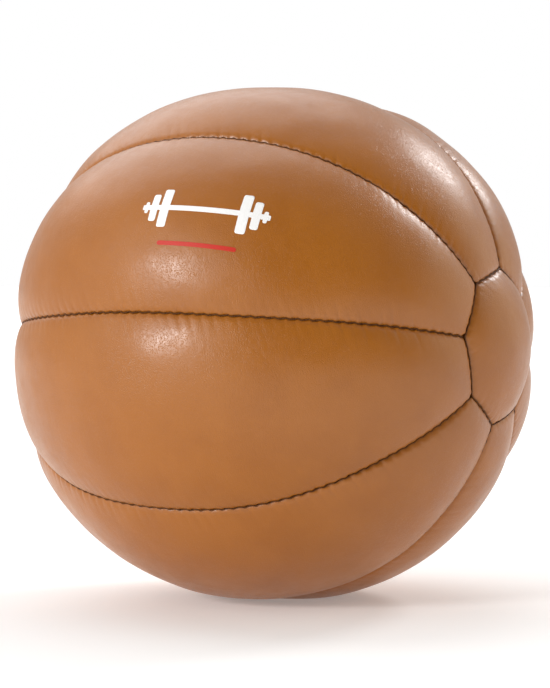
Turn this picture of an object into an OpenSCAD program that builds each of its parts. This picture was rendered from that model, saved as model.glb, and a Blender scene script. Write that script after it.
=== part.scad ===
// Stuffed leather medicine ball, lying on the floor with its polar axis along X.
// Eight leather gores run from pole to pole, and an octagonal cap closes each end.
// Every panel has its edges turned in and sewn to its neighbours. Inside are a canvas
// lining and a felt pad behind each panel, a canvas bag, and the packed stuffing.
// Millimetres, +Z up, with the origin on the floor below the middle of the ball.

/* [Ball] */
// Diameter over the crowns of the panels
ball_d = 280; // [220:10:340]
// How far the ball's underside is pressed flat by its own weight
rest_squash = 5; // [3:0.5:6]
// Turn of the seams about the polar axis, from level at the front
seam_roll = 7.75; // [0:0.25:20]

/* [Panels] */
// Number of gores round the ball
gore_count = 8; // [6:2:10]
// Radius of a gore across its width, as a share of the ball's radius
crown_share = 0.75; // [0.7:0.01:0.85]
// Angle from the pole to a corner of an end cap
cap_angle = 17.5; // [14:0.5:22]
// How far each end cap's middle stands inside the crown diameter
cap_low = 1; // [0:0.5:3]
// How far a gore's ends fall below the crown circle
end_drop = 5; // [2:0.5:8]

/* [Leather and linings] */
// Thickness of the leather
leather_t = 2; // [1.5:0.1:3]
// Thickness of the canvas lining behind the leather
lining_t = 0.8; // [0.5:0.1:1.2]
// Depth of the turned-in seam allowance behind the leather
seam_allow = 7; // [5:0.5:8]
// Thickness of the canvas bag round the stuffing
bag_t = 1.2; // [1.2:0.1:2]

/* [Seams] */
// Diameter of the waxed seam thread
thread_d = 0.8; // [0.6:0.1:1]
// Radius of the crease along a seam
crease_r = 1.6; // [1.4:0.1:2]
// Diameter of the hand-sewn closing thread
closing_d = 0.6; // [0.5:0.1:0.8]
// Length of the hand-sewn closure, as an angle along its seam
closing_angle = 44; // [30:2:60]

/* [Emblem] */
// Length of the printed barbell mark
emblem_w = 64; // [50:2:80]
// Offset of the mark's middle towards the +X pole
emblem_x = 24; // [0:1:30]
// Thickness of the print
ink_t = 0.12; // [0.1:0.01:0.2]

/* [Hidden] */
$fn = 96;
// Gap between neighbouring pieces, and between the print and the leather
clear = 0.05;
ink_gap = 0.01;
// Looseness of the stuffing bag inside the panels' turned edges
bag_slack = 0.5;
// Longer than anything in the ball
big = 2 * ball_d;
crown = ball_d / 2;
centre_h = crown - rest_squash;
half_gore = 180 / gore_count;
lateral_r = crown_share * crown;
meridian_r = crown - end_drop;
pole = crown - cap_low;
// Angle from the pole to the middle of a cap's side, and half the side's own angle
cap_side_angle = atan(tan(cap_angle) * cos(half_gore));
cap_half_side = asin(sin(cap_angle) * sin(half_gore));
// Thickness of leather and lining together, and how deep the turned edges reach
cover_t = leather_t + clear + lining_t;
edge_depth = leather_t + seam_allow;

// Distance of a point outside a gore's crowned surface, in the gore's own frame
function outside(p) =
    norm([norm([p.x, p.z - end_drop]) - (meridian_r - lateral_r), p.y]) - lateral_r;
// Distance from the ball's middle to the gore's surface along a direction, found by stepping
function reach(dir, rho = crown, steps = 8) =
    steps == 0 ? rho : reach(dir, rho - outside(rho * dir), steps - 1);
function seam_dir(polar) =
    [cos(polar), sin(polar) * sin(half_gore), sin(polar) * cos(half_gore)];

corner_rho = reach(seam_dir(cap_angle));
seam_rho = (corner_rho + reach(seam_dir(90))) / 2;
corner_x = corner_rho * cos(cap_angle);
corner_y = corner_rho * sin(cap_angle);
cap_r = (pow(pole - corner_x, 2) + pow(corner_y, 2)) / (2 * (pole - corner_x));
thread_rho = seam_rho - crease_r + thread_d / 2 + clear;
closing_rho = thread_rho + (thread_d + closing_d) / 2 + clear;
// Radius of the stitch at each corner of a cap, and the angle that a long seam's thread
// stops short of it
knot_r = 0.6 * thread_d;
thread_short = 0.6;
// Radius of the crease at a gore's end, and the angle that its creases run past its corners
end_crease_r = 0.9 * crease_r;
crease_past = 1;
bag_r = corner_rho - edge_depth - bag_slack;
core_r = bag_r - bag_t - clear;

// Proportions of the printed mark, as shares of its length
bar_t = 0.045 * emblem_w;
bar_down = 0.02 * emblem_w;
stripe_w = 0.62 * emblem_w;
stripe_t = 0.035 * emblem_w;
stripe_down = 0.32 * emblem_w;
// Each pair of plates: distance from the middle, width and height
plates = [[0.31, 0.075, 0.34], [0.40, 0.06, 0.24], [0.465, 0.03, 0.1]] * emblem_w;

leather_colour = "#b5703c";
lining_colour = "#d9cbab";
felt_colour = "#8d8a84";
canvas_colour = "#c9b78f";
thread_colour = "#5a3216";

function gore_angle(i) = seam_roll + (i - 0.5) * 2 * half_gore;
function seam_angle(i) = seam_roll + (i - 1) * 2 * half_gore;
function numbered(stem) = [for (i = [1:gore_count]) str(stem, i)];

SIDES = ["left", "right"];

// ---- Frames: the ball's middle, a direction round the polar axis, and an end ----

// Puts +Z of its children at an angle round the polar axis: 0 is the front, 90 the top
module facing(angle) {
    translate([0, 0, centre_h]) rotate([90 - angle, 0, 0]) children();
}

// Puts +X of its children at the left or the right pole, with gore 1's middle along +Z
module at_end(side) {
    mirror([side == "left" ? 1 : 0, 0, 0]) facing(gore_angle(1)) children();
}

// Everything at least inset above the floor
module above_floor(inset) {
    translate([-big / 2, -big / 2, inset]) cube([big, big, big]);
}

// ---- Shapes that the panels are cut from ----

// The crowned form of one gore, with its surface lowered by inset
module crown_form(inset) {
    translate([0, 0, end_drop]) rotate([90, 0, 0]) rotate_extrude() intersection() {
        translate([meridian_r - lateral_r, 0]) circle(r = lateral_r - inset);
        translate([0, -big / 2]) square([big, big]);
    }
}

// A flat fan that opens along +Y, with its edges moved in by gap
module fan(half_angle, gap) {
    tip = gap / sin(half_angle);
    polygon([
        [0, tip],
        [-(big - tip) * sin(half_angle), tip + (big - tip) * cos(half_angle)],
        [(big - tip) * sin(half_angle), tip + (big - tip) * cos(half_angle)]
    ]);
}

// The space between two neighbouring seams, with its walls moved in by gap
module sector(gap) {
    rotate([90, 0, 90]) linear_extrude(height = big, center = true) fan(half_gore, gap);
}

// The part of a sector that lies between the two caps
module gore_wedge(gap) {
    intersection() {
        sector(gap);
        rotate([90, 0, 0]) linear_extrude(height = big, center = true)
            fan(90 - cap_side_angle, gap);
    }
}

// The many-sided space below a cap, opening along +X
module cap_wedge(gap) {
    intersection_for(i = [0:gore_count / 2 - 1]) {
        rotate([2 * half_gore * i, 0, 0]) rotate([90, 90, 0])
            linear_extrude(height = big, center = true) fan(cap_side_angle, gap);
    }
}

module gore_body(i, inset, gap) {
    intersection() {
        facing(gore_angle(i)) intersection() {
            crown_form(inset);
            gore_wedge(gap);
        }
        above_floor(inset);
    }
}

module cap_dome(inset) {
    translate([pole - cap_r, 0, 0]) sphere(r = cap_r - inset);
}

module cap_body(side, inset, gap) {
    at_end(side) intersection() {
        cap_dome(inset);
        cap_wedge(gap);
    }
}

// ---- Seam lines ----

// A round cord along the meridian in the XZ plane, between two polar angles
module meridian_cord(rho, r, from, to) {
    rotate([90, 0, 0]) rotate_extrude(angle = to - from, start = from)
        translate([rho, 0]) circle(r = r);
}

// A cord from one cap's corner to the other's, running past the corners by an angle
module seam_cord(i, rho, r, past) {
    facing(seam_angle(i)) meridian_cord(rho, r, cap_angle - past, 180 - cap_angle + past);
}

// A round cord along the great circle over one side of a cap, running past the corners
module cap_side_cord(rho, r, past) {
    half = cap_half_side + past;
    rotate([0, -cap_side_angle, 0]) rotate_extrude(angle = 2 * half, start = -half)
        translate([rho, 0]) circle(r = r);
}

// The cords over all the sides of a cap, joined by a ball at each corner
module cap_cord(side, rho, r, corner_r) {
    at_end(side) for (i = [0:gore_count - 1]) {
        rotate([2 * half_gore * i, 0, 0]) cap_side_cord(rho, r, 0);
        rotate([2 * half_gore * (i + 0.5), 0, 0]) rotate([0, -cap_angle, 0])
            translate([rho, 0, 0]) sphere(r = corner_r);
    }
}

// The creases that a gore's own four edges are rolled into
module gore_creases(i) {
    seam_cord(i, seam_rho, crease_r, crease_past);
    seam_cord(i % gore_count + 1, seam_rho, crease_r, crease_past);
    facing(gore_angle(i)) for (end = [0, 1])
        mirror([end, 0, 0]) cap_side_cord(seam_rho, end_crease_r, crease_past);
}

// ---- Cover panels ----

module gore_panel(i, inset, wall, gap) {
    difference() {
        gore_body(i, inset, gap);
        gore_body(i, inset + wall, gap + wall);
        intersection() {
            facing(gore_angle(i)) crown_form(edge_depth);
            above_floor(edge_depth);
        }
    }
}

module gore(i) {
    color(leather_colour) difference() {
        gore_panel(i, 0, leather_t, clear);
        gore_creases(i);
    }
}

module gore_lining(i) {
    color(lining_colour)
        gore_panel(i, leather_t + clear, lining_t, leather_t + 2 * clear);
}

module gore_pad(i) {
    color(felt_colour) difference() {
        gore_body(i, cover_t + clear, cover_t + 2 * clear);
        translate([0, 0, centre_h]) sphere(r = bag_r + clear);
    }
}

module cap_panel(side, inset, wall, gap) {
    difference() {
        cap_body(side, inset, gap);
        cap_body(side, inset + wall, gap + wall);
        at_end(side) cap_dome(edge_depth);
    }
}

module cap(side) {
    color(leather_colour) difference() {
        cap_panel(side, 0, leather_t, clear);
        cap_cord(side, seam_rho, crease_r, crease_r);
    }
}

module cap_lining(side) {
    color(lining_colour)
        cap_panel(side, leather_t + clear, lining_t, leather_t + 2 * clear);
}

module cap_pad(side) {
    color(felt_colour) difference() {
        cap_body(side, cover_t + clear, cover_t + 2 * clear);
        translate([0, 0, centre_h]) sphere(r = bag_r + clear);
    }
}

// ---- Threads ----

module seam_thread(i) {
    color(thread_colour) seam_cord(i, thread_rho, thread_d / 2, -thread_short);
}

module cap_thread(side) {
    color(thread_colour) cap_cord(side, thread_rho, thread_d / 2, knot_r);
}

// The last seam is closed by hand, after stuffing, at the middle of the back
module closing_thread() {
    color(thread_colour) facing(seam_angle(gore_count / 2 + 1))
        meridian_cord(closing_rho, closing_d / 2,
                      90 - closing_angle / 2, 90 + closing_angle / 2);
}

// ---- Stuffing and its bag ----

// Half of the bag, which stops short of the thread between the halves
module bag_half(side) {
    color(canvas_colour) translate([0, 0, centre_h])
        mirror([side == "left" ? 1 : 0, 0, 0]) difference() {
            sphere(r = bag_r);
            sphere(r = bag_r - bag_t);
            translate([thread_d / 2 + clear - big, -big / 2, -big / 2])
                cube([big, big, big]);
        }
}

module bag_thread() {
    color(thread_colour) translate([0, 0, centre_h]) rotate([0, 90, 0])
        rotate_extrude() translate([bag_r - bag_t / 2, 0]) circle(r = thread_d / 2);
}

module stuffing() {
    color(felt_colour) translate([0, 0, centre_h]) sphere(r = core_r);
}

// ---- Emblem: a plain barbell pictogram over a stripe, printed on gore 1 ----

// Turns a flat drawing into a film of ink on the first gore
module printed() {
    facing(gore_angle(1)) intersection() {
        difference() {
            crown_form(-ink_gap - ink_t);
            crown_form(-ink_gap);
        }
        translate([emblem_x, 0, crown / 2]) linear_extrude(height = crown) children();
    }
}

module emblem_barbell() {
    color("white") printed() translate([0, -bar_down]) {
        square([emblem_w, bar_t], center = true);
        for (plate = plates, dir = [-1, 1])
            translate([dir * plate[0], 0]) square([plate[1], plate[2]], center = true);
    }
}

module emblem_stripe() {
    color("#c22a22") printed() translate([0, -stripe_down])
        square([stripe_w, stripe_t], center = true);
}

// ---- Nodes ----

for (i = [1:gore_count]) {
    gore(i);
    gore_lining(i);
    gore_pad(i);
    seam_thread(i);
}
for (side = SIDES) {
    cap(side);
    cap_lining(side);
    cap_pad(side);
    cap_thread(side);
    bag_half(side);
}
closing_thread();
bag_thread();
stuffing();
emblem_barbell();
emblem_stripe();
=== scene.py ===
"""Looks of a stuffed leather medicine ball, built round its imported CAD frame.

Every panel is a closed mesh: a crowned outer skin, lips that roll into the seams, turned-in
edges and an inner skin. Points are worked out in the ball's own frame, in millimetres from
the ball's middle with X along the polar axis, and go to the row frame, in metres, at the end.
"""

import math
from typing import NamedTuple

import bpy
import numpy as np
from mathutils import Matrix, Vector


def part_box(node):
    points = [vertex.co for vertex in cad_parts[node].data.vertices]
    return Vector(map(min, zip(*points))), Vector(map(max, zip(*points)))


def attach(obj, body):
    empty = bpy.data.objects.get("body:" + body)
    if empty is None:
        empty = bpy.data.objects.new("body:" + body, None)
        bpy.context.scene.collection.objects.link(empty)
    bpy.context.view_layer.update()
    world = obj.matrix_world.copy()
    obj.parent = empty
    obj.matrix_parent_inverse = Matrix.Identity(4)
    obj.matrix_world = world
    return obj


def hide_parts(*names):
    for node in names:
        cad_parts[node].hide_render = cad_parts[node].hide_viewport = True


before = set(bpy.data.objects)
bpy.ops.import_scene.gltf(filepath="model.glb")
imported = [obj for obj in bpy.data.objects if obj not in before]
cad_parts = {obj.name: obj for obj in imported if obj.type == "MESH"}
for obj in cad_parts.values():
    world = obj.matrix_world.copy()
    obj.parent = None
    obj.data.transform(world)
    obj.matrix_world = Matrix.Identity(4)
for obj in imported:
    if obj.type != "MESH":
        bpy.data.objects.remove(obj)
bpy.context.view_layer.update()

MM = 0.001
ROOT = "root"

# ---- Driving dimensions, in millimetres and degrees ----

GORES = 8
# Turn of the seams about the polar axis, from level at the front
SEAM_ROLL = 7.75
# Angle from the pole to a corner of an end cap
CAP_ANGLE = 17.5
# How far each cap's middle stands inside the crown circle, and a gore's ends fall below it
CAP_LOW, END_DROP = 1.0, 5.0
# Radius of a gore across its width, as a share of the ball's radius
CROWN_SHARE = 0.75

# Gap between neighbouring pieces
CLEAR = 0.05
LEATHER_T, LINING_T, BAG_T = 2.0, 0.8, 1.2
COVER_T = LEATHER_T + CLEAR + LINING_T
# How far from a seam the leather starts to roll into it, and how deep it rolls
LIP_W, LIP_DROP = 3.0, 1.3
# Radii of the bends at a turned-in edge's inner rim and behind the lip, of a panel's corners,
# and of a pad's edges
BEND, FOLD_R, CORNER_R, PAD_EDGE_R = 0.4, 0.2, 4.0, 1.0
# Looseness of the stuffing bag inside the turned-in edges
BAG_SLACK = 0.5

STITCH = 5.7
# The waxed thread is squeezed between the lips, so it is higher than it is wide. Its middle
# lies THREAD_DEPTH deep, dips further into each hole, and leans a little more than the seam.
THREAD_R, THREAD_HALF_W = 0.4, 0.29
THREAD_DEPTH, THREAD_DIP, THREAD_LEAN = 0.52, 0.4, 0.08
# How far a long seam's thread stops short of the cap's corner, as an angle
THREAD_SHORT = 0.7
# The hand-sewn closure: radius of its thread, its length as an angle, the length of one
# zigzag, how far that reaches to each side, and how deep the thread goes into its holes
CLOSING_R, CLOSING_ANGLE, CLOSING_PITCH, CLOSING_REACH, CLOSING_DIP = 0.3, 44.0, 4.2, 1.5, 0.8

stuffing_low, stuffing_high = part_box("stuffing")
bag_low, bag_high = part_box("bag_left")
CENTRE = np.array((stuffing_low + stuffing_high) / 2)
CENTRE_H = CENTRE[2] / MM
CORE_R = (stuffing_high.x - stuffing_low.x) / 2 / MM
BAG_R = (bag_high.z - bag_low.z) / 2 / MM
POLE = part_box("cap_right")[1].x / MM
CROWN = POLE + CAP_LOW

HALF_GORE = 180 / GORES
LATERAL_R = CROWN_SHARE * CROWN
MERIDIAN_R = CROWN - END_DROP
CAP_SIDE = math.degrees(math.atan(math.tan(math.radians(CAP_ANGLE))
                                  * math.cos(math.radians(HALF_GORE))))
# Radius that the turned-in edges reach in to
EDGE_R = BAG_R + BAG_SLACK

CAMERA_AZ, CAMERA_EL = 27.6, 1.6

X_AXIS = np.array([1.0, 0.0, 0.0])
ENDS = {"left": -1, "right": 1}


# ---- Directions and turns ----

def unit(v):
    return v / np.linalg.norm(v, axis=-1, keepdims=True)


def around(angle):
    """The direction at an angle round the polar axis: 0 is the front, 90 the top."""
    a = math.radians(angle)
    return np.array([0.0, -math.cos(a), math.sin(a)])


def across(angle):
    """The direction that points the way the angle grows, square to around(angle)."""
    a = math.radians(angle)
    return np.array([0.0, math.sin(a), math.cos(a)])


def turned(v, axis, angles):
    """v turned about axis by each of the angles, in radians."""
    c = np.cos(angles)[:, None]
    s = np.sin(angles)[:, None]
    return v * c + np.cross(axis, v) * s + axis * (axis @ v) * (1 - c)


def camera_axes():
    """The directions to the camera's right, up, and back from the ball to the camera."""
    a, e = math.radians(CAMERA_AZ), math.radians(CAMERA_EL)
    back = np.array([math.sin(a) * math.cos(e), -math.cos(a) * math.cos(e), math.sin(e)])
    right = np.array([math.cos(a), math.sin(a), 0.0])
    return right, np.cross(back, right), back


SEEN_RIGHT, SEEN_UP, SEEN_BACK = camera_axes()


def seam_angle(i):
    return SEAM_ROLL + (i - 1) * 2 * HALF_GORE


def gore_angle(i):
    return SEAM_ROLL + (i - 0.5) * 2 * HALF_GORE


def smooth_step(x, low, high):
    t = np.clip((x - low) / (high - low), 0, 1)
    return t * t * (3 - 2 * t)


# ---- Crowned forms: distance outside, and the outward normal ----

def gore_form(i):
    """A spindle: an arc across the gore, swept along an arc from pole to pole."""
    mid = around(gore_angle(i))
    side = across(gore_angle(i))

    def form(p):
        x = p @ X_AXIS
        z = p @ mid - END_DROP
        y = p @ side
        ring = np.hypot(x, z)
        a = ring - (MERIDIAN_R - LATERAL_R)
        r = np.hypot(a, y)
        in_plane = (x[:, None] * X_AXIS + z[:, None] * mid) / ring[:, None]
        normal = in_plane * (a / r)[:, None] + side * (y / r)[:, None]
        return r - LATERAL_R, normal

    return form


def radius_on(form, dirs):
    """How far out the form's surface lies along each direction."""
    rho = np.full(len(dirs), CROWN)
    for _ in range(8):
        rho = rho - form(dirs * rho[:, None])[0]
    return rho


def seam_dir(i, polar):
    """The direction on seam i at an angle from the right pole."""
    a = math.radians(polar)
    return math.cos(a) * X_AXIS + math.sin(a) * around(seam_angle(i))


CORNER_RHO = radius_on(gore_form(1), seam_dir(1, CAP_ANGLE)[None, :])[0]


def cap_form(end):
    """A dome through the cap's middle and the corners of the gores."""
    corner_x = CORNER_RHO * math.cos(math.radians(CAP_ANGLE))
    corner_y = CORNER_RHO * math.sin(math.radians(CAP_ANGLE))
    rise = POLE - corner_x
    dome_r = (rise**2 + corner_y**2) / (2 * rise)
    middle = end * (POLE - dome_r) * X_AXIS

    def form(p):
        out = p - middle
        r = np.linalg.norm(out, axis=1)
        return r - dome_r, out / r[:, None]

    return form


# ---- Seams, each shared by two panels ----

class Seam(NamedTuple):
    normal: np.ndarray    # of the plane that holds the seam and the ball's middle
    middle: np.ndarray    # direction of the seam's middle
    half: float           # half of the seam's angle, in radians
    pull: np.ndarray      # how hard each stitch pulls
    lean: float           # how far the puckers lean along the seam


# How hard the stitches pull round the caps and at the ends of the long seams, as shares of the
# rest. The leather is stiffest there, where three panels meet.
CAP_PULL, END_PULL = 0.55, 0.5
# Shares of a seam's half length between which its stitches' pull falls off to END_PULL
END_FROM, END_TO = 0.65, 0.9


def make_seam(normal, middle, half, seed, share=1.0):
    """A seam whose stitches pull unevenly. share scales how hard all of them pull."""
    rng = np.random.default_rng(seed)
    count = int(2 * half * CORNER_RHO / STITCH) + 8
    to_end = smooth_step(np.abs(np.linspace(-1, 1, count)), END_FROM, END_TO)
    pull = rng.uniform(0.5, 1.3, count) * share * (1 + (END_PULL - 1) * to_end)
    return Seam(normal, middle, half, pull, rng.uniform(0.3, 0.5))


def long_seam(i):
    i = (i - 1) % GORES + 1
    return make_seam(across(seam_angle(i)), around(seam_angle(i)),
                     math.radians(90 - CAP_ANGLE), 100 + i)


def cap_seam(end, i):
    """The seam between a cap and gore i. Its normal points away from the pole."""
    a = math.radians(CAP_SIDE)
    mid = around(gore_angle(i))
    half = math.asin(math.sin(math.radians(CAP_ANGLE)) * math.sin(math.radians(HALF_GORE)))
    return make_seam(math.cos(a) * mid - end * math.sin(a) * X_AXIS,
                     math.sin(a) * mid + end * math.cos(a) * X_AXIS,
                     half, 200 + 20 * end + i, CAP_PULL)


def along(seam, dirs):
    """How far along its seam each direction lies, in millimetres from the seam's middle."""
    forward = np.cross(seam.normal, seam.middle)
    return np.arctan2(dirs @ forward, dirs @ seam.middle) * CORNER_RHO


# ---- Soft shape: what stuffing, stitches and weight do to the crowned panels ----

# How far the seams draw the skin in: at the middle of the ball, and more towards its poles,
# between two shares of the way to them
DRAW, DRAW_AT_POLES, DRAW_REACH = 1.5, 3.6, 8.5
POLE_FROM, POLE_TO = 0.45, 0.95
# How far from its seams a panel reaches its full swell
SWELL_REACH = 20
# Depth and reach of the pucker at a stitch, and its width as a share of the stitch
PUCKER, PUCKER_REACH, PUCKER_W = 0.45, 3.6, 0.2
# Where a stitch pulls harder than GATHER_FROM, its pucker runs on into the panel
GATHER, GATHER_REACH, GATHER_FROM = 0.26, 8.0, 0.9
DIMPLES = 0.10
# How far the thread pushes the lips aside in each of its holes
BITE = 0.2
# How far each stitch slants the seam's line aside, and how soon that fades
SLANT, SLANT_REACH = 0.24, 2.2

# How far the stuffing's weight lowers the top and widens the middle
SAG = 1.6
# Height of the stuffing's random lumps under the skin, and how far the skin strays sideways
LUMPY, SWAY = 0.3, 0.4
# Radius of the bend round the patch that the ball rests on
PATCH_BEND = 0.5
# Swells and dents round the outline that the camera sees: angle from its right, height in
# millimetres, and spread in degrees
LUMPS = [(42, 2.2, 20), (60, 1.7, 9), (91, -2.8, 14), (138, 2.2, 16), (190, -2.0, 9),
         (205, 2.2, 14), (338, 0.8, 14)]
# Places where the panels' edges lie out of true, in the camera's view: right and up from
# the ball's middle as shares of its radius, then the shift right, up and nearer in millimetres
PULLS = [(-0.74, 0.65, -3.0, 4.5, 0), (-0.28, 0.76, 0, -2.0, 0), (0.64, 0.74, 4.0, 5.0, -5.0),
         (0.87, 0.34, -5.5, -3.0, 0), (0.90, 0.0, 1.0, 2.5, 0), (0.92, -0.26, -0.5, -1.0, 0),
         (0.30, -0.52, 0, 3.8, 0), (-0.45, -0.62, 0, 4.2, 0), (0.45, -0.84, 2.0, -4.5, 0)]
PULL_SPREAD = 20


def waves(dirs, seed, count, low, high):
    """A smooth random field over directions, about -1 to 1. Higher numbers are finer."""
    rng = np.random.default_rng(seed)
    total = np.zeros(len(dirs))
    for _ in range(count):
        k = unit(rng.normal(size=3)) * rng.uniform(low, high)
        total += np.sin(dirs @ k + rng.uniform(0, 2 * math.pi))
    return total / math.sqrt(count)


def warped(p):
    """The whole ball pushed a little out of true, so that no piece parts from another."""
    dirs = unit(p)
    out = LUMPY * waves(dirs, 7, 10, 3, 8) + SAG * (1 - 2 * dirs[:, 2] ** 2)
    for angle, height, spread in LUMPS:
        a = math.radians(angle)
        place = math.cos(a) * SEEN_RIGHT + math.sin(a) * SEEN_UP
        out = out + height * np.exp(-(1 - dirs @ place) * 2 / math.radians(spread) ** 2)
    sway = np.stack([waves(dirs, 20 + k, 8, 4, 11) for k in range(3)], axis=1) * SWAY
    for right, up, move_right, move_up, nearer in PULLS:
        back = math.sqrt(max(0.0, 1 - right**2 - up**2))
        place = unit(right * SEEN_RIGHT + up * SEEN_UP + back * SEEN_BACK)
        near = np.exp(-(1 - dirs @ place) * 2 / math.radians(PULL_SPREAD) ** 2)
        shift = move_right * SEEN_RIGHT + move_up * SEEN_UP + nearer * SEEN_BACK
        sway = sway + near[:, None] * shift
    sway = sway - dirs * np.sum(sway * dirs, axis=1)[:, None]
    return p + dirs * out[:, None] + sway


def pressed(p, depth):
    """Points kept above the floor, where the ball's weight presses its underside flat."""
    over = p[:, 2] + CENTRE_H - depth
    p = p.copy()
    p[:, 2] = depth - CENTRE_H + (over + np.sqrt(over**2 + PATCH_BEND**2)) / 2
    return p


def settled(p, depth):
    """Points of a layer at a depth below the skin, as they lie in the ball at rest."""
    return pressed(warped(p), depth)


def valley(phase):
    """1 at each whole number, falling off to each side."""
    t = phase - np.rint(phase)
    return np.exp(-((t / PUCKER_W) ** 2))


def pull_at(seam, phase):
    """How hard the stitch nearest to each phase pulls."""
    index = np.rint(phase).astype(int) + len(seam.pull) // 2
    return seam.pull[np.clip(index, 0, len(seam.pull) - 1)]


class Panel(NamedTuple):
    form: object
    seams: list      # in order round the panel, anticlockwise from outside
    sides: list      # which side of each seam the panel is on
    swell: float     # how much fuller the panel is in its middle, in millimetres


def edge_distances(panel, p):
    """How far inside each of the panel's seams the points lie."""
    return [np.clip(side * (p @ seam.normal), 0, None)
            for seam, side in zip(panel.seams, panel.sides)]


def soft_offset(panel, p):
    """How far every layer of the panel lies off its crowned form."""
    near_pole = smooth_step(np.abs(p[:, 0]), POLE_FROM * CROWN, POLE_TO * CROWN)
    draw = DRAW + (DRAW_AT_POLES - DRAW) * near_pole
    free = np.ones(len(p))
    full = np.ones(len(p))
    for away in edge_distances(panel, p):
        free = free * (1 - np.exp(-away / DRAW_REACH))
        full = full * (1 - np.exp(-((away / SWELL_REACH) ** 2)))
    return panel.swell * full - draw * (1 - free)


def stitch_offset(panel, p):
    """How far the stitches pull the leather's outer skin down at each of their holes."""
    total = np.zeros(len(p))
    for seam, side, away in zip(panel.seams, panel.sides, edge_distances(panel, p)):
        phase = (along(seam, p) + side * seam.lean * away) / STITCH
        pull = pull_at(seam, phase)
        near = PUCKER * pull * np.exp(-away / PUCKER_REACH)
        far = GATHER * np.clip(pull - GATHER_FROM, 0, None) * np.exp(-away / GATHER_REACH)
        total = total - (near + far) * valley(phase)
    return total


def slanted(phase):
    """A soft saw wave: up from one stitch to the next, then quickly back."""
    return np.sin(2 * math.pi * phase) - 0.35 * np.sin(4 * math.pi * phase)


def drawn_aside(panel, p, depth):
    """Skin near a seam moved sideways: apart where the thread bites, and on a slant between."""
    bite = BITE * min(1.0, depth / LIP_DROP)
    for seam, side, away in zip(panel.seams, panel.sides, edge_distances(panel, p)):
        phase = along(seam, p) / STITCH
        apart = side * bite * np.exp(-away / PUCKER_REACH) * valley(phase)
        aside = SLANT * np.exp(-away / SLANT_REACH) * slanted(phase)
        p = p + seam.normal * (apart + aside)[:, None]
    return p


def layer(panel, dirs, depth, drop=0.0):
    """Points of a layer at a depth below the panel's skin, lowered further by drop."""
    p = dirs * radius_on(panel.form, dirs)[:, None]
    offset = soft_offset(panel, p) - drop
    return p + dirs * offset[:, None] - panel.form(p)[1] * depth


def outer_skin(panel, dirs, drop=0.0):
    """The leather's outside, with its puckers and small dimples."""
    p = dirs * radius_on(panel.form, dirs)[:, None]
    offset = soft_offset(panel, p) + stitch_offset(panel, p) - drop
    offset = offset + DIMPLES * waves(dirs, 11, 30, 14, 48)
    return drawn_aside(panel, p + dirs * offset[:, None], drop)


# ---- Outlines: sides and rounded corners, as arcs about an axis ----

class Arc(NamedTuple):
    start: np.ndarray
    axis: np.ndarray
    angle: float


def angle_about(axis, a, b):
    a = a - axis * (axis @ a)
    b = b - axis * (axis @ b)
    return math.atan2(axis @ np.cross(a, b), a @ b) % (2 * math.pi)


def corner_centre(m1, m2, inset):
    """The direction that lies inset radians inside both planes, near where they cross."""
    c = math.sin(inset) / (1 + m1 @ m2)
    out = math.sqrt(1 - 2 * c**2 * (1 + m1 @ m2))
    return c * (m1 + m2) + out * unit(np.cross(m1, m2))


def outline(panel, gap, corner_r):
    """The panel's outline, gap inside its seams, as sides and rounded corners.

    Corner k joins side k to side k + 1."""
    normals = [side * seam.normal for seam, side in zip(panel.seams, panel.sides)]
    following = normals[1:] + normals[:1]
    turn = corner_r / CORNER_RHO
    centres = [corner_centre(m, n, gap / CORNER_RHO + turn)
               for m, n in zip(normals, following)]

    def touching(c, m):
        return math.cos(turn) * c + math.sin(turn) * unit((m @ c) * c - m)

    sides, corners = [], []
    for k, (m, n) in enumerate(zip(normals, following)):
        before = touching(centres[k - 1], m)
        first = touching(centres[k], m)
        last = touching(centres[k], n)
        sides.append(Arc(before, m, angle_about(m, before, first)))
        corners.append(Arc(first, centres[k], angle_about(centres[k], first, last)))
    return sides, corners


def half_arc(arc, second):
    """The second half of an arc, or else the first."""
    half = arc.angle / 2
    start = turned(arc.start, arc.axis, np.array([half]))[0] if second else arc.start
    return Arc(start, arc.axis, half)


def grid_sides(sides, corners):
    """The outline as four runs of arcs, each from the middle of one corner to another."""
    per = len(sides) // 4
    runs = []
    for first in range(0, len(sides), per):
        run = [half_arc(corners[first - 1], True), sides[first]]
        for k in range(first + 1, first + per):
            run += [corners[k - 1], sides[k]]
        run.append(half_arc(corners[first + per - 1], False))
        runs.append(run)
    return runs


def sample(run, shares):
    """Directions and inward tangents at shares of a run's length."""
    lengths = np.array([arc.angle * np.linalg.norm(np.cross(arc.axis, arc.start))
                        for arc in run])
    ends = np.cumsum(lengths)
    at = shares * ends[-1]
    which = np.minimum(np.searchsorted(ends, at), len(run) - 1)
    dirs = np.zeros((len(at), 3))
    axes = np.zeros((len(at), 3))
    for k, arc in enumerate(run):
        here = which == k
        within = (at[here] - (ends[k] - lengths[k])) / lengths[k]
        dirs[here] = turned(arc.start, arc.axis, within * arc.angle)
        axes[here] = arc.axis
    inward = unit(axes - dirs * np.sum(axes * dirs, axis=1)[:, None])
    return dirs, inward


def graded(count, ease):
    """Shares from 0 to 1 that lie closer together near both ends."""
    t = np.linspace(0, 1, count + 1)
    return t - ease * np.sin(2 * math.pi * t) / (2 * math.pi)


class Rim(NamedTuple):
    dirs: np.ndarray
    inward: np.ndarray    # towards the panel's middle, square to dirs
    u: np.ndarray         # shares along the panel of the loop's first and third sides
    v: np.ndarray         # shares across it of the second and fourth


class MeshSize(NamedTuple):
    along: int            # faces along the panel
    over: int             # faces across it
    ease_along: float     # how much closer together they lie near the seams
    ease_over: float


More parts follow.
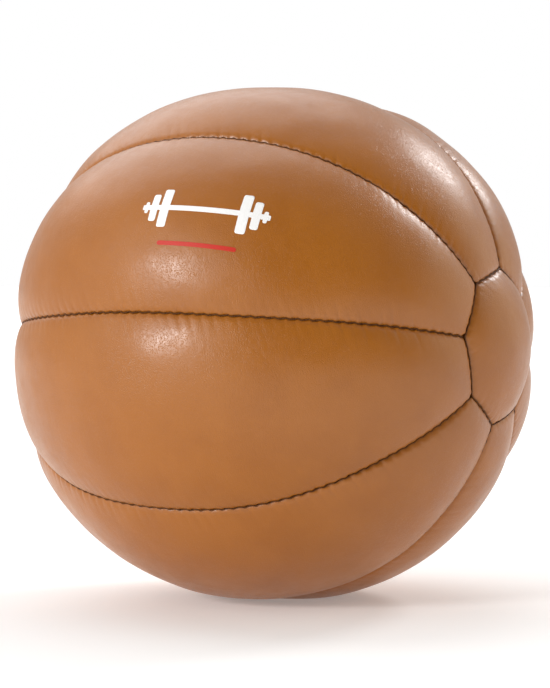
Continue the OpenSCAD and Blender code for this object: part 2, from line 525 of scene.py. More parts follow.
def make_rim(panel, gap, corner_r, size):
    """The closed loop of directions round a panel, gap inside its seams."""
    u = graded(size.along, size.ease_along)
    v = graded(size.over, size.ease_over)
    runs = grid_sides(*outline(panel, gap, corner_r))
    dirs, inward = zip(*(sample(run, shares[:-1]) for run, shares in zip(runs, (u, v, u, v))))
    return Rim(np.concatenate(dirs), np.concatenate(inward), u, v)


def thinned(rim, step):
    """The loop with only one of every step directions."""
    return Rim(rim.dirs[::step], rim.inward[::step], rim.u[::step], rim.v[::step])


def moved_in(rim, inset):
    """The loop's directions, moved towards the panel's middle by inset millimetres."""
    a = inset / CORNER_RHO
    return unit(rim.dirs * math.cos(a) + rim.inward * math.sin(a))


def filled(rim, inset):
    """A grid of directions inside the loop, by blending its four sides."""
    loop = moved_in(rim, inset)
    n, m = len(rim.u) - 1, len(rim.v) - 1
    bottom = loop[:n + 1]
    right = loop[n:n + m + 1]
    top = loop[n + m:2 * n + m + 1][::-1]
    left = np.concatenate([loop[2 * n + m:], loop[:1]])[::-1]
    u = rim.u[:, None, None]
    v = rim.v[None, :, None]
    grid = (1 - v) * bottom[:, None] + v * top[:, None]
    grid = grid + (1 - u) * left[None, :] + u * right[None, :]
    grid = grid - (1 - u) * ((1 - v) * bottom[0] + v * top[0])
    grid = grid - u * ((1 - v) * bottom[-1] + v * top[-1])
    return unit(grid.reshape(-1, 3))


# ---- Meshes ----

def signed_volume(mesh):
    """The volume inside a closed mesh, or less than 0 if its faces look inwards."""
    mesh.calc_loop_triangles()
    corners = np.zeros(3 * len(mesh.loop_triangles), np.int32)
    mesh.loop_triangles.foreach_get("vertices", corners)
    places = np.zeros(3 * len(mesh.vertices), np.float32)
    mesh.vertices.foreach_get("co", places)
    a, b, c = np.float64(places).reshape(-1, 3)[corners.reshape(-1, 3)].transpose(1, 0, 2)
    return np.sum(a * np.cross(b, c)) / 6


class Builder:
    """Collects points in the ball's frame, and faces, into one closed mesh."""

    def __init__(self):
        self.points = []
        self.faces = []
        self.count = 0

    def add(self, points):
        first = self.count
        self.points.append(points)
        self.count += len(points)
        return np.arange(first, self.count)

    def grid(self, points, n, m, flip=False):
        """Adds a grid of points with its faces, and returns its outer loop."""
        index = self.add(points).reshape(n + 1, m + 1)
        quads = np.stack([index[:-1, :-1], index[1:, :-1], index[1:, 1:], index[:-1, 1:]], -1)
        quads = quads.reshape(-1, 4)
        self.faces += (quads[:, ::-1] if flip else quads).tolist()
        return np.concatenate([index[:-1, 0], index[-1, :-1], index[:0:-1, -1],
                               index[0, :0:-1]])

    def join(self, upper, lower):
        """Adds faces between two closed loops. The upper may have several points to each
        point of the lower."""
        ratio = len(upper) // len(lower)
        low_next = np.roll(lower, -1)
        if ratio == 1:
            quads = np.stack([upper, lower, low_next, np.roll(upper, -1)], -1)
            self.faces += quads.tolist()
            return
        for k, low in enumerate(lower.tolist()):
            fine = upper[(k * ratio + np.arange(ratio + 1)) % len(upper)].tolist()
            half = ratio // 2
            self.faces += [[fine[j], low, fine[j + 1]] for j in range(half)]
            self.faces.append([fine[half], low, int(low_next[k])])
            self.faces += [[fine[j], int(low_next[k]), fine[j + 1]] for j in range(half, ratio)]

    def ring(self, upper, points):
        """Adds a loop of points joined to the loop above it, and returns it."""
        lower = self.add(points)
        self.join(upper, lower)
        return lower

    def close(self, loop, point, flip=False):
        """Closes a loop with a fan to one point."""
        tip = int(self.add(point[None, :])[0])
        for a, b in zip(loop.tolist(), np.roll(loop, -1).tolist()):
            self.faces.append([b, a, tip] if flip else [a, b, tip])

    def all_points(self):
        return np.concatenate(self.points)

    def mesh(self, name, **attributes):
        mesh = bpy.data.meshes.new(name)
        mesh.from_pydata((self.all_points() * MM + CENTRE).tolist(), [], self.faces)
        mesh.validate()
        if signed_volume(mesh) < 0:
            mesh.flip_normals()
        mesh.shade_smooth()
        for label, values in attributes.items():
            data = mesh.attributes.new(label, "FLOAT", "POINT").data
            data.foreach_set("value", np.asarray(values, np.float32))
        return mesh


def placed(name, mesh, node, material):
    """Puts a mesh in the scene as the piece that stands for a CAD node."""
    obj = bpy.data.objects.new(name, mesh)
    bpy.context.scene.collection.objects.link(obj)
    mesh.materials.append(material)
    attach(obj, ROOT)
    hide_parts(node)
    return obj


def rounded_edge(width, height, steps):
    """How far in and how far down each step of a rounded edge lies, from the top outwards."""
    turns = [math.pi / 2 * (k + 1) / steps for k in range(steps)]
    return [(width * (1 - math.sin(a)), height * (1 - math.cos(a))) for a in turns]


# ---- Panels: leather, lining and pad ----

LONG_SIZE = MeshSize(480, 56, 0.2, 0.75)
CAP_SIZE = MeshSize(112, 112, 0.4, 0.4)
# How many faces of the leather's outside there are to each of its inside
INSIDE_STEP = 4


def coarse(size):
    """The size for the layers that the leather hides."""
    return MeshSize(size.along // 4, size.over // 2, size.ease_along, size.ease_over)


def leather_mesh(panel, name, size):
    """Outer skin, lip, turned-in edge and inner skin, and how far each vertex is from a seam."""
    b = Builder()
    rim = make_rim(panel, CLEAR, CORNER_R, size)
    top = filled(rim, LIP_W)
    ring = b.grid(settled(outer_skin(panel, top), 0), size.along, size.over)
    seam = [np.min(edge_distances(panel, top * CORNER_RHO), axis=0)]
    for inset, drop in rounded_edge(LIP_W, LIP_DROP, 8):
        ring = b.ring(ring, settled(outer_skin(panel, moved_in(rim, inset), drop), drop))
        seam.append(np.full(len(ring), inset))
    for inset, radius in ((0, EDGE_R + LEATHER_T), (0, EDGE_R + BEND), (BEND, EDGE_R)):
        ring = b.ring(ring, warped(moved_in(rim, inset) * radius))
    rim = thinned(rim, INSIDE_STEP)
    for inset, radius in ((LEATHER_T - BEND, EDGE_R), (LEATHER_T, EDGE_R + BEND)):
        ring = b.ring(ring, warped(moved_in(rim, inset) * radius))
    for inset, drop in reversed(rounded_edge(FOLD_R, FOLD_R, 2)):
        points = layer(panel, moved_in(rim, LEATHER_T + inset), LEATHER_T, drop)
        ring = b.ring(ring, settled(points, LEATHER_T + drop))
    inner = settled(layer(panel, filled(rim, LEATHER_T + FOLD_R), LEATHER_T), LEATHER_T)
    b.join(ring, b.grid(inner, size.along // INSIDE_STEP, size.over // INSIDE_STEP, True))
    hidden = np.zeros(len(b.all_points()) - sum(map(len, seam)))
    return b.mesh(name, seam=np.concatenate([*seam, hidden]))


def lining_mesh(panel, name, size):
    """The lining lies behind the leather and turns in along its edges."""
    b = Builder()
    depth = LEATHER_T + CLEAR
    fold = FOLD_R - CLEAR / 2
    rim = make_rim(panel, depth + CLEAR, CORNER_R - LEATHER_T - CLEAR, size)
    ring = b.grid(settled(layer(panel, filled(rim, LINING_T), depth), depth),
                  size.along, size.over)
    for inset, drop in ((fold, 0), (0, fold)):
        points = settled(layer(panel, moved_in(rim, inset), depth, drop), depth + drop)
        ring = b.ring(ring, points)
    for inset, radius in ((0, EDGE_R), (LINING_T, EDGE_R)):
        ring = b.ring(ring, warped(moved_in(rim, inset) * radius))
    points = layer(panel, moved_in(rim, LINING_T), depth + LINING_T)
    ring = b.ring(ring, settled(points, COVER_T))
    inner = settled(layer(panel, filled(rim, LINING_T + fold), COVER_T), COVER_T)
    b.join(ring, b.grid(inner, size.along, size.over, True))
    return b.mesh(name)


def pad_mesh(panel, name, size):
    """The pad fills the space between the lining and the bag."""
    b = Builder()
    depth = COVER_T + CLEAR
    rim = make_rim(panel, depth + CLEAR, PAD_EDGE_R, size)
    ring = b.grid(settled(layer(panel, filled(rim, PAD_EDGE_R), depth), depth),
                  size.along, size.over)
    for inset, drop in rounded_edge(PAD_EDGE_R, PAD_EDGE_R, 3):
        points = settled(layer(panel, moved_in(rim, inset), depth, drop), depth + drop)
        ring = b.ring(ring, points)
    inner = filled(rim, PAD_EDGE_R) * (BAG_R + CLEAR)
    ring = b.ring(ring, warped(moved_in(rim, 0) * (BAG_R + CLEAR)))
    b.join(ring, b.grid(warped(inner), size.along, size.over, True))
    return b.mesh(name)


def gore_panel(i):
    seams = [long_seam(i), cap_seam(1, i), long_seam(i + 1), cap_seam(-1, i)]
    swell = float(np.random.default_rng(40 + i).uniform(-0.3, 0.8))
    return Panel(gore_form(i), seams, [1, 1, -1, 1], swell)


def cap_panel(end):
    order = range(GORES, 0, -1) if end == 1 else range(1, GORES + 1)
    return Panel(cap_form(end), [cap_seam(end, i) for i in order], [-1] * GORES, 1.0)


gores = {i: gore_panel(i) for i in range(1, GORES + 1)}
caps = {side: cap_panel(end) for side, end in ENDS.items()}


# ---- Threads ----

# Faces round a thread
THREAD_SEGMENTS = 10


def tube(b, points, sides, ups, half_w, half_h, closed):
    """A cord through the points. Returns each vertex's angle round it, from its underside."""
    angles = np.arange(THREAD_SEGMENTS) * 2 * math.pi / THREAD_SEGMENTS
    low = -half_h * np.cos(angles)[:, None]
    over = half_w * np.sin(angles)[:, None]
    circles = [p + up * low + side * over for p, side, up in zip(points, sides, ups)]
    first = ring = b.add(circles[0])
    for circle in circles[1:]:
        ring = b.ring(ring, circle)
    if closed:
        b.join(ring, first)
        return np.tile(angles, len(points))
    b.close(first, points[0])
    b.close(ring, points[-1], flip=True)
    return np.concatenate([np.tile(angles, len(points)), [0, 0]])


def gores_beside(i):
    """The two gores that share seam i."""
    return [gores[(i - 2) % GORES + 1], gores[i]]


def seam_skin(panels, dirs):
    """The middle between two panels' skins where they meet."""
    return sum(layer(panel, dirs, 0) for panel in panels) / len(panels)


def stitched_line(skins, dirs, sides, run):
    """The thread's middle line: it dips into each hole, and slants from hole to hole."""
    phase = run / STITCH
    depth = THREAD_DEPTH + THREAD_DIP * valley(phase)
    lean = (SLANT + THREAD_LEAN) * slanted(phase)
    p = skins - dirs * depth[:, None] + sides * lean[:, None]
    return settled(p, THREAD_DEPTH)


def thread_mesh(name, points, sides, ups, run, closed, half_w=THREAD_HALF_W, half_h=THREAD_R):
    """A thread that knows, for its twist, how far along and how far round each vertex is."""
    b = Builder()
    turn = tube(b, points, sides, ups, half_w, half_h, closed)
    distance = np.repeat(run, THREAD_SEGMENTS)
    if not closed:
        distance = np.concatenate([distance, [run[0], run[-1]]])
    return b.mesh(name, along=distance, turn=turn)


def long_thread(i):
    seam = long_seam(i)
    half = seam.half - math.radians(THREAD_SHORT)
    angles = np.linspace(-half, half, 960)
    dirs = turned(seam.middle, seam.normal, angles)
    sides = np.tile(seam.normal, (len(dirs), 1))
    run = angles * CORNER_RHO
    points = stitched_line(seam_skin(gores_beside(i), dirs), dirs, sides, run)
    return thread_mesh(f"seam_thread_{i}", points, sides, dirs, run, False)


def closing_thread():
    """Hand stitches from lip to lip over the seam that was closed last."""
    seam = long_seam(GORES // 2 + 1)
    half = math.radians(CLOSING_ANGLE / 2)
    angles = np.linspace(-half, half, 1500)
    dirs = turned(seam.middle, seam.normal, angles)
    run = angles * CORNER_RHO
    swing = np.sin(2 * math.pi * run / CLOSING_PITCH)
    depth = CLOSING_DIP * swing**4 - CLOSING_R
    over = dirs + seam.normal * (swing * CLOSING_REACH / CORNER_RHO)[:, None]
    points = seam_skin(gores_beside(GORES // 2 + 1), unit(over)) - dirs * depth[:, None]
    ahead = unit(np.gradient(points, axis=0))
    sides = unit(np.cross(dirs, ahead))
    return thread_mesh("closing_thread", settled(points, 0), sides, dirs, run, False,
                       CLOSING_R, CLOSING_R)


def nearest_gore(d):
    angle = math.degrees(math.atan2(d[2], -d[1]))
    return int(((angle - SEAM_ROLL) % 360) // (2 * HALF_GORE)) + 1


def cap_thread(side):
    """The thread round a cap."""
    corner_r, count = 1.5, GORES * 110
    straights, corners = outline(caps[side], 0, corner_r)
    arcs = [arc for pair in zip(straights, corners) for arc in pair]
    shares = np.arange(count) / count
    dirs, inward = sample(arcs, shares)
    length = sum(arc.angle * CORNER_RHO for arc in straights)
    run = shares * round(length / STITCH) * STITCH
    near = np.array([nearest_gore(d) for d in dirs])
    skins = np.zeros_like(dirs)
    for k in set(near.tolist()):
        here = near == k
        skins[here] = seam_skin([caps[side], gores[k]], dirs[here])
    points = settled(skins - dirs * THREAD_DEPTH, THREAD_DEPTH)
    return thread_mesh(f"cap_thread_{side}", points, inward, dirs, run, True)


# ---- Materials ----

# The colour sockets of a Mix node, whose names are shared by its sockets for other data
MIX_A, MIX_B, MIX_RESULT = 6, 7, 2


class Shader:
    """A node material, built up one node at a time. Sizes are in millimetres."""

    def __init__(self, name):
        self.material = bpy.data.materials.new(name)
        self.material.use_nodes = True
        self.tree = self.material.node_tree
        self.surface = self.tree.nodes["Principled BSDF"]
        self.place = self.tree.nodes.new("ShaderNodeTexCoord").outputs["Object"]

    def put(self, value, socket):
        if isinstance(value, bpy.types.NodeSocket):
            self.tree.links.new(value, socket)
        elif socket.type == "RGBA":
            socket.default_value = (*value, 1)
        else:
            socket.default_value = value

    def node(self, kind, output, inputs, **settings):
        node = self.tree.nodes.new(kind)
        for key, value in settings.items():
            setattr(node, key, value)
        for key, value in inputs.items():
            self.put(value, node.inputs[key])
        return node.outputs[output]

    def finish(self, **inputs):
        for key, value in inputs.items():
            self.put(value, self.surface.inputs[key.replace("_", " ")])
        return self.material

    def noise(self, size, detail=3, stretch=(1, 1, 1), rough=0.5):
        place = self.node("ShaderNodeMapping", "Vector",
                          {"Vector": self.place, "Scale": stretch})
        return self.node("ShaderNodeTexNoise", "Fac",
                         {"Vector": place, "Scale": 1 / (size * MM), "Detail": detail,
                          "Roughness": rough})

    def cells(self, size, feature="F1"):
        return self.node("ShaderNodeTexVoronoi", "Distance",
                         {"Vector": self.place, "Scale": 1 / (size * MM)}, feature=feature)

    def attribute(self, name):
        return self.node("ShaderNodeAttribute", "Fac", {}, attribute_name=name)

    def spread(self, value, low, high, to_low=0.0, to_high=1.0):
        """value brought from low..high to to_low..to_high, and kept between them."""
        return self.node("ShaderNodeMapRange", "Result",
                         {"Value": value, "From Min": low, "From Max": high,
                          "To Min": to_low, "To Max": to_high},
                         interpolation_type="SMOOTHSTEP")

    def math(self, operation, a, b=0.0):
        node = self.tree.nodes.new("ShaderNodeMath")
        node.operation = operation
        self.put(a, node.inputs[0])
        self.put(b, node.inputs[1])
        return node.outputs[0]

    def mix(self, share, a, b):
        node = self.tree.nodes.new("ShaderNodeMix")
        node.data_type = "RGBA"
        self.put(share, node.inputs["Factor"])
        self.put(a, node.inputs[MIX_A])
        self.put(b, node.inputs[MIX_B])
        return node.outputs[MIX_RESULT]

    def bump(self, height, depth, normal=None):
        """Relief of a depth in millimetres, on top of an earlier relief if one is given."""
        inputs = {"Height": height, "Distance": depth * MM}
        if normal is not None:
            inputs["Normal"] = normal
        return self.node("ShaderNodeBump", "Normal", inputs)

    def weave(self, pitch):
        """Threads over and under each other, from 0 to 1."""
        split = self.tree.nodes.new("ShaderNodeSeparateXYZ")
        self.put(self.place, split.inputs[0])
        waves_of = [self.math("SINE", self.math("MULTIPLY", out, math.pi / (pitch * MM)))
                    for out in split.outputs]
        a = self.math("ABSOLUTE", self.math("MULTIPLY", waves_of[0], waves_of[2]))
        b = self.math("ABSOLUTE", self.math("MULTIPLY", waves_of[1], waves_of[2]))
        return self.math("MAXIMUM", a, b)


TAN = (0.37, 0.117, 0.006)
TAN_DEEP = (0.345, 0.106, 0.004)
TAN_PALE = (0.395, 0.128, 0.009)
# Brown at the seams: the leather's darker edges together with painted shade in the seam grooves
SEAM_BROWN_AND_SHADE = (0.15, 0.045, 0.006)
# Painted shade in the grooves between the thread's plies
THREAD_PLY_SHADE = (0.075, 0.024, 0.006)
THREAD_BROWN = (0.17, 0.058, 0.014)
THREAD_PALE = (0.22, 0.09, 0.03)
# Size of the leather's pores, which show through the print as well
PORE = 0.62
# Length of one twist of the waxed thread, and how many plies it has
TWIST, PLIES = 0.9, 3


def leather_material():
    """Mottled tan leather, browner in the seams: darker edges plus painted shade. Its relief
    runs from swells to pores.
    """
    s = Shader("tan_leather")
    clouds = s.noise(42, 4, rough=0.55)
    blotches = s.noise(11, 4, rough=0.6)
    speckle = s.noise(1.1, 2)
    colour = s.mix(s.spread(clouds, 0.40, 0.62), TAN_DEEP, TAN)
    colour = s.mix(s.math("MULTIPLY", s.spread(blotches, 0.40, 0.75), 0.35), colour, TAN_PALE)
    colour = s.mix(s.math("MULTIPLY", s.spread(speckle, 0.42, 0.75), 0.3), colour, TAN_DEEP)
    # Seam browning: partly the leather's own darker edges, partly painted shade in the grooves
    seam = s.attribute("seam")
    edge = s.math("ADD", seam, s.math("MULTIPLY", speckle, 0.3))
    colour = s.mix(s.spread(edge, 0.2, 0.8, 0.8, 0.0), colour, SEAM_BROWN_AND_SHADE)

    pores = s.spread(s.cells(PORE), 0.05, 0.5)
    wrinkles = s.cells(2.3, feature="SMOOTH_F1")
    creases = s.noise(5.5, 4, (1.0, 0.35, 0.35), 0.6)
    cracks = s.spread(s.noise(1.5, 3, (1.0, 0.3, 0.3)), 0.72, 0.54)
    swells = s.noise(17, 2)
    normal = s.bump(swells, 0.22)
    normal = s.bump(creases, 0.05, normal)
    normal = s.bump(wrinkles, 0.03, normal)
    normal = s.bump(cracks, 0.02, normal)
    normal = s.bump(pores, 0.06, normal)
    rough = s.spread(s.noise(7, 4), 0.35, 0.7, 0.27, 0.33)
    rough = s.math("ADD", rough, s.math("MULTIPLY", speckle, 0.06))
    return s.finish(Base_Color=colour, Roughness=rough, Normal=normal,
                    Specular_IOR_Level=0.6)


def thread_material():
    s = Shader("waxed_thread")
    turn = s.math("MULTIPLY", s.attribute("turn"), PLIES)
    along_it = s.math("MULTIPLY", s.attribute("along"), 2 * math.pi / TWIST)
    plies = s.math("SINE", s.math("ADD", turn, along_it))
    fibres = s.noise(0.12, 2)
    # Painted shade: the grooves between the plies are darkened, the crests stay brown
    colour = s.mix(s.spread(plies, -1, 1), THREAD_PLY_SHADE, THREAD_BROWN)
    colour = s.mix(s.math("MULTIPLY", fibres, 0.4), colour, THREAD_PALE)
    normal = s.bump(plies, 0.09)
    normal = s.bump(fibres, 0.02, normal)
    return s.finish(Base_Color=colour, Roughness=0.55, Normal=normal, Specular_IOR_Level=0.3)


def cloth_material(name, pale, deep_stain_and_shade, pitch):
    """Stained canvas with slubs, whose threads lie pitch apart; painted shade in the weave's
    hollows.
    """
    s = Shader(name)
    weave = s.weave(pitch)
    slubs = s.noise(3, 4, (0.3, 1, 1))
    stain = s.noise(30, 3)
    # Painted shade: the weave's hollows take the deep colour, which the stains use as well
    colour = s.mix(s.spread(weave, 0.1, 0.8), deep_stain_and_shade, pale)
    colour = s.mix(s.math("MULTIPLY", s.spread(stain, 0.45, 0.7), 0.3), colour, deep_stain_and_shade)
    normal = s.bump(weave, 0.18)
    normal = s.bump(slubs, 0.12, normal)
    return s.finish(Base_Color=colour, Roughness=0.9, Normal=normal, Sheen_Weight=0.15,
                    Specular_IOR_Level=0.2)


def felt_material(name, tones, tuft):
    """Matted fibres in several tones, with tufts of one size."""
    s = Shader(name)
    fibres = s.noise(0.5, 5, (1, 0.25, 1), 0.65)
    mat = s.noise(tuft, 5, rough=0.65)
    colour = s.mix(s.spread(mat, 0.35, 0.65), tones[0], tones[1])
    colour = s.mix(s.spread(s.noise(tuft * 0.6, 4), 0.55, 0.66), colour, tones[2])
    colour = s.mix(s.math("MULTIPLY", fibres, 0.35), colour, tones[1])
    normal = s.bump(mat, 0.5)
    normal = s.bump(fibres, 0.2, normal)
    return s.finish(Base_Color=colour, Roughness=0.95, Normal=normal, Sheen_Weight=0.3,
                    Specular_IOR_Level=0.15)


def ink_material(name, full, thin):
    """Ink that is thinner in patches and in the leather's pores."""
    s = Shader(name)
    patches = s.noise(6, 4)
    grain = s.spread(s.cells(PORE), 0.05, 0.5)
    colour = s.mix(s.math("MULTIPLY", s.spread(patches, 0.5, 0.8), 0.35), full, thin)
    colour = s.mix(s.math("MULTIPLY", s.spread(grain, 0.5, 0.0), 0.25), colour, thin)
    normal = s.bump(grain, 0.03)
    return s.finish(Base_Color=colour, Roughness=0.42, Normal=normal, Specular_IOR_Level=0.4)


LEATHER = leather_material()
THREAD = thread_material()
LINING = cloth_material("lining_canvas", (0.70, 0.60, 0.42), (0.42, 0.33, 0.20), 1.0)
BAG = cloth_material("bag_canvas", (0.58, 0.46, 0.27), (0.30, 0.22, 0.11), 1.6)
FELT = felt_material("grey_felt",
                     [(0.20, 0.19, 0.17), (0.34, 0.32, 0.29), (0.12, 0.10, 0.10)], 4)
RAGS = felt_material("textile_stuffing",
                     [(0.22, 0.24, 0.30), (0.46, 0.42, 0.36), (0.33, 0.10, 0.08)], 14)
WHITE_INK = ink_material("white_ink", (0.94, 0.93, 0.91), (0.86, 0.80, 0.73))
RED_INK = ink_material("red_ink", (0.56, 0.018, 0.005), (0.45, 0.03, 0.01))


# ---- Bag and stuffing ----

def bag_mesh(side):
    """Half of the bag: a shell gathered towards the thread between the halves."""
    b = Builder()
    rings, around_it = 60, 240
    angles = np.arange(around_it) * 2 * math.pi / around_it
    circle = np.stack([0 * angles, -np.cos(angles), np.sin(angles)], axis=1)
    edge = THREAD_R + CLEAR
    low = math.asin(edge / BAG_R)
    top = ENDS[side] * X_AXIS

    def dirs_at(lift):
        return top * math.sin(lift) + circle * math.cos(lift)

    def slack_at(lift):
        """How far the outside sinks in: in gathers near the thread, and a little everywhere."""
        gathers = (1 + np.sin(30 * angles + 3 * np.sin(7 * angles))) / 2
        slack = 0.35 * gathers * math.exp(-(lift - low) / 0.12) + 0.12
        slack = slack + 0.1 * waves(dirs_at(lift), 61, 12, 8, 20)
        return np.clip(slack, 0, 0.6)

    def ring_at(lift, depths):
        """A ring of points, on its own side of the thread between the halves."""
        p = dirs_at(lift) * (BAG_R - depths)[:, None]
        p[:, 0] = ENDS[side] * np.maximum(np.abs(p[:, 0]), edge)
        return warped(p)

    thickness = np.full(around_it, BAG_T)
    lifts = low + (math.pi / 2 - low) * (1 - np.arange(1, rings) / rings)
    first = ring = b.add(ring_at(lifts[0], slack_at(lifts[0])))
    for lift in [*lifts[1:], low]:
        ring = b.ring(ring, ring_at(lift, slack_at(lift)))
    for lift in [low, *lifts[::-1]]:
        ring = b.ring(ring, ring_at(lift, thickness))
    b.close(first, warped((top * (BAG_R - 0.2))[None, :])[0])
    b.close(ring, warped((top * (BAG_R - BAG_T))[None, :])[0], flip=True)
    return b.mesh(f"bag_{side}")


def bag_thread_mesh():
    count = 1400
    angles = np.arange(count) * 2 * math.pi / count
    dirs = np.stack([0 * angles, -np.cos(angles), np.sin(angles)], axis=1)
    sides = np.tile(X_AXIS, (count, 1))
    run = angles * BAG_R
    points = warped(dirs * (BAG_R - BAG_T / 2))
    return thread_mesh("bag_thread", points, sides, dirs, run, True, THREAD_R, THREAD_R)


def stuffing_mesh():
    """Packed rags: a ball whose surface is lumpy inwards."""
    bpy.ops.mesh.primitive_ico_sphere_add(subdivisions=7, radius=1)
    ball = bpy.context.object
    dirs = np.array([v.co[:] for v in ball.data.vertices])
    faces = [list(f.vertices) for f in ball.data.polygons]
    bpy.data.objects.remove(ball)
    b = Builder()
    lumps_in = np.abs(waves(dirs, 71, 30, 10, 40)) * 0.9 + 0.2 * waves(dirs, 72, 30, 60, 130)
    b.add(warped(dirs * (CORE_R - np.clip(lumps_in, 0, 2.5))[:, None]))
    b.faces = faces
    return b.mesh("stuffing")


# ---- Printed emblem: a plain barbell over a stripe, on gore 1 ----

EMBLEM_W, EMBLEM_X = 64.0, 24.0
INK_GAP, INK_T = 0.03, 0.12
# Shares of the mark's length: half heights of the bar and stripe, and their heights up
BAR_HALF, BAR_UP, STRIPE_LONG, STRIPE_HALF, STRIPE_UP = 0.0225, -0.02, 0.31, 0.0175, -0.32
# Each plate: distance from the middle, width and height
PLATES = [(0.31, 0.075, 0.34), (0.40, 0.06, 0.24), (0.465, 0.03, 0.1)]
BAR_CORNER, PLATE_CORNER, STRIPE_CORNER = 0.01, 0.018, 0.016


def rounded_half(x, half_long, half_high, corner):
    """Half height of a rounded bar at a distance x from its middle."""
    past = np.clip(np.abs(x) - (half_long - corner), 0, corner)
    return half_high - corner + np.sqrt(corner**2 - past**2)


def barbell_outline():
    x = np.linspace(-0.5, 0.5, 1201)
    half = rounded_half(x, 0.5, BAR_HALF, BAR_CORNER)
    for middle, width, height in PLATES:
        for sign in (-1, 1):
            here = np.abs(x - sign * middle) <= width / 2
            corner = min(PLATE_CORNER, width * 0.45)
            plate = rounded_half(x - sign * middle, width / 2, height / 2, corner)
            half = np.where(here, np.maximum(half, plate), half)
    return x, half


def stripe_outline():
    x = np.linspace(-STRIPE_LONG, STRIPE_LONG, 401)
    return x, rounded_half(x, STRIPE_LONG, STRIPE_HALF, STRIPE_CORNER)


def ink_mesh(name, x, half, up):
    """A film of ink between x's half heights, laid on gore 1's leather."""
    b = Builder()
    rows = 24
    share = np.linspace(-1, 1, rows + 1)
    u = EMBLEM_X + EMBLEM_W * np.repeat(x, rows + 1)
    v = EMBLEM_W * (up + np.outer(half, share).ravel())
    h = np.sqrt(CROWN**2 - u**2 - v**2)
    angle = gore_angle(1)
    dirs = unit(u[:, None] * X_AXIS + v[:, None] * across(angle) + h[:, None] * around(angle))
    skin = outer_skin(gores[1], dirs)
    n, m = len(x) - 1, rows
    top = b.grid(settled(skin + dirs * (INK_GAP + INK_T), 0), n, m)
    b.join(top, b.grid(settled(skin + dirs * INK_GAP, 0), n, m, flip=True))
    return b.mesh(name)


# ---- The pieces ----

def add_panel(panel, kind, which, size):
    """The leather, lining and pad of one panel."""
    name, lining, pad = f"{kind}_{which}", f"{kind}_lining_{which}", f"{kind}_pad_{which}"
    leather = leather_mesh(panel, name, size)
    placed(f"cover_{name}", leather, name, LEATHER)
    canvas = lining_mesh(panel, lining, coarse(size))
    placed(f"canvas_{lining}", canvas, lining, LINING)
    felt = placed(f"felt_{pad}", pad_mesh(panel, pad, coarse(size)), pad, FELT)


def add_thread(name, mesh):
    placed(f"waxed_{name}", mesh, name, THREAD)


for i, panel in gores.items():
    add_panel(panel, "gore", i, LONG_SIZE)
    add_thread(f"seam_thread_{i}", long_thread(i))
for side, panel in caps.items():
    add_panel(panel, "cap", side, CAP_SIZE)
    add_thread(f"cap_thread_{side}", cap_thread(side))
    placed(f"canvas_bag_{side}", bag_mesh(side), f"bag_{side}", BAG)
add_thread("closing_thread", closing_thread())
add_thread("bag_thread", bag_thread_mesh())
rags = placed("packed_stuffing", stuffing_mesh(), "stuffing", RAGS)
placed("print_barbell", ink_mesh("emblem_barbell", *barbell_outline(), BAR_UP),
       "emblem_barbell", WHITE_INK)
placed("print_stripe", ink_mesh("emblem_stripe", *stripe_outline(), STRIPE_UP),
       "emblem_stripe", RED_INK)


# ---- Floor, light and camera ----

# The camera's distance in metres, and its lens in millimetres
CAMERA_BACK, LENS = 1.3, 127.5
# Strength of the white studio behind the ball, and on the camera's side
WHITE_SIDE, DIM_SIDE = 0.65, 0.13
FLOOR_WHITE, FLOOR_GLOW = 0.88, 0.22
WARM = (1.0, 0.82, 0.55)


def sun(name, towards, strength, spread, colour=(1, 1, 1)):
    """A distant soft light. towards is its place in the camera's right, up and back."""
    light = bpy.data.lights.new(name, "SUN")
    light.energy = strength
    light.color = colour
    light.angle = math.radians(spread)
    obj = bpy.data.objects.new(name, light)
    place = towards[0] * SEEN_RIGHT + towards[1] * SEEN_UP + towards[2] * SEEN_BACK
    obj.rotation_mode = "QUATERNION"
    obj.rotation_quaternion = Vector(place).to_track_quat("Z", "Y")
    bpy.context.scene.collection.objects.link(obj)


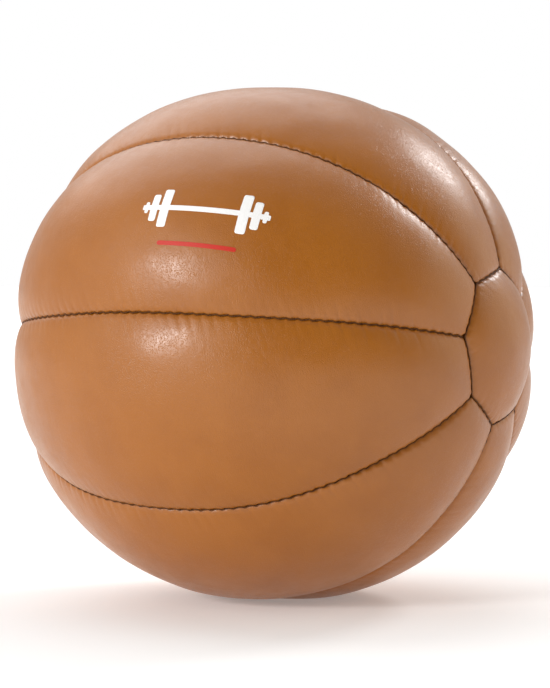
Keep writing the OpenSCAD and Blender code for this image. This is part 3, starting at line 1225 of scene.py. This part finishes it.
sun("key", (-0.70, 0.30, 0.64), 1.55, 14)
sun("fill", (-0.80, 0.10, 0.60), 0.9, 90)
sun("rim", (0.56, 0.60, -0.57), 0.8, 14)
sun("side", (0.95, 0.15, -0.25), 0.6, 60, WARM)
sun("top", (-0.25, 0.80, -0.55), 1.2, 60)


def make_world():
    """A white studio that is dim on the camera's side. The camera itself sees plain white."""
    world = bpy.data.worlds.new("studio")
    bpy.context.scene.world = world
    world.use_nodes = True
    nodes, links = world.node_tree.nodes, world.node_tree.links
    direction = nodes.new("ShaderNodeTexCoord")
    facing = nodes.new("ShaderNodeVectorMath")
    facing.operation = "DOT_PRODUCT"
    facing.inputs[1].default_value = SEEN_BACK
    links.new(direction.outputs["Generated"], facing.inputs[0])
    light = nodes.new("ShaderNodeMapRange")
    light.interpolation_type = "SMOOTHSTEP"
    light.inputs["From Min"].default_value = -0.2
    light.inputs["From Max"].default_value = 0.7
    light.inputs["To Min"].default_value = WHITE_SIDE
    light.inputs["To Max"].default_value = DIM_SIDE
    links.new(facing.outputs["Value"], light.inputs["Value"])
    path = nodes.new("ShaderNodeLightPath")
    seen = nodes.new("ShaderNodeMix")
    links.new(path.outputs["Is Camera Ray"], seen.inputs["Factor"])
    links.new(light.outputs["Result"], seen.inputs["A"])
    seen.inputs["B"].default_value = 1.0
    links.new(seen.outputs["Result"], nodes["Background"].inputs["Strength"])
    nodes["Background"].inputs["Color"].default_value = (1, 1, 1, 1)


make_world()

bpy.ops.mesh.primitive_plane_add(size=60)
floor = bpy.context.object
floor.name = "floor"
floor.data.materials.append(Shader("floor").finish(
    Base_Color=(FLOOR_WHITE, FLOOR_WHITE, FLOOR_WHITE), Roughness=0.9, Specular_IOR_Level=0.0,
    Emission_Color=(1, 1, 1), Emission_Strength=FLOOR_GLOW))

bpy.context.scene.view_settings.view_transform = "Standard"

camera_data = bpy.data.cameras.new("camera")
camera = bpy.data.objects.new("camera", camera_data)
bpy.context.scene.collection.objects.link(camera)
camera_data.lens = LENS
camera_data.sensor_width = 36
camera_data.clip_end = 100
camera.location = Vector(CENTRE + SEEN_BACK * CAMERA_BACK)
camera.rotation_mode = "QUATERNION"
camera.rotation_quaternion = Vector(SEEN_BACK).to_track_quat("Z", "Y")
bpy.context.scene.camera = camera
